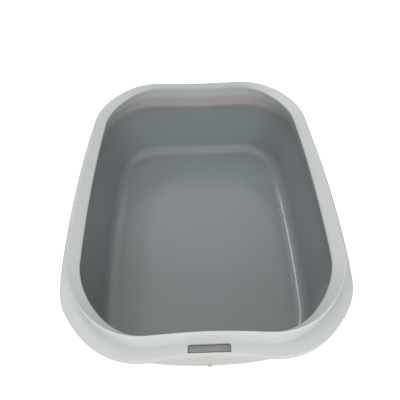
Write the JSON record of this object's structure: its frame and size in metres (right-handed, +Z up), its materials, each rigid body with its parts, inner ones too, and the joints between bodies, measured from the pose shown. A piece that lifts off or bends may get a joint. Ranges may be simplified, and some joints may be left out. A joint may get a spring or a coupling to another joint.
{
  "type": "litter tray with rim",
  "caption": "Deep rounded litter pan with a flat base, and a lift-off rim whose raised bead keeps litter in; pinched ends carry a catch window and a grip apron.",
  "frame": {"origin": "on the ground under the middle of the pan", "axes": "+Z up; +Y along the tray's length, from the front end to the back end; +X across it"},
  "size_m": [0.286, 0.3812, 0.1186],
  "materials": {
    "pan_grey": "glossy moulded polypropylene, mid grey",
    "rim_white": "satin moulded polypropylene, off-white"
  },
  "bodies": {
    "pan_body": {"pan": "pan_grey"},
    "rim_body": {"rim": "rim_white"}
  },
  "joints": [
    {"name": "rim_lift", "type": "slide", "parent": "pan_body", "child": "rim_body", "axis": [0, 0, 1], "range_m": [0, 0.12]}
  ]
}
